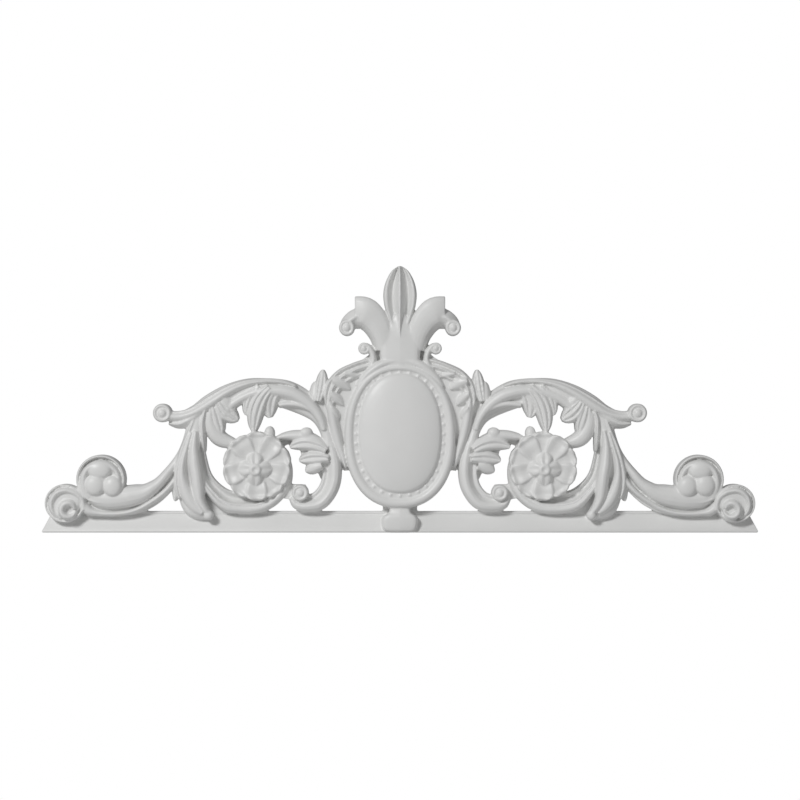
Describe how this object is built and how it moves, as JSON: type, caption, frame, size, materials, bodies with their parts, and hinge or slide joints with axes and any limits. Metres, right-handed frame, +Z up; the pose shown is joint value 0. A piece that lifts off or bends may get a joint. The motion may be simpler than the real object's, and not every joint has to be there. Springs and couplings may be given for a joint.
{
  "type": "door head onlay",
  "caption": "Moulded over-door onlay: a foot bar with pierced scrolls and rosettes, an oval beaded cartouche in the middle and a fleur-de-lis above.",
  "frame": {"origin": "on the flat back, behind the oval cartouche, 123 mm above the underside of the foot bar", "axes": "+X along the foot bar to the right as seen from the front, +Z up, the carved front faces -Y and the flat back faces +Y"},
  "size_m": [0.916, 0.047, 0.341],
  "materials": {
    "primed_white": "satin white primer over rigid foam"
  },
  "bodies": {
    "root": {"onlay": "primed_white"}
  },
  "joints": []
}
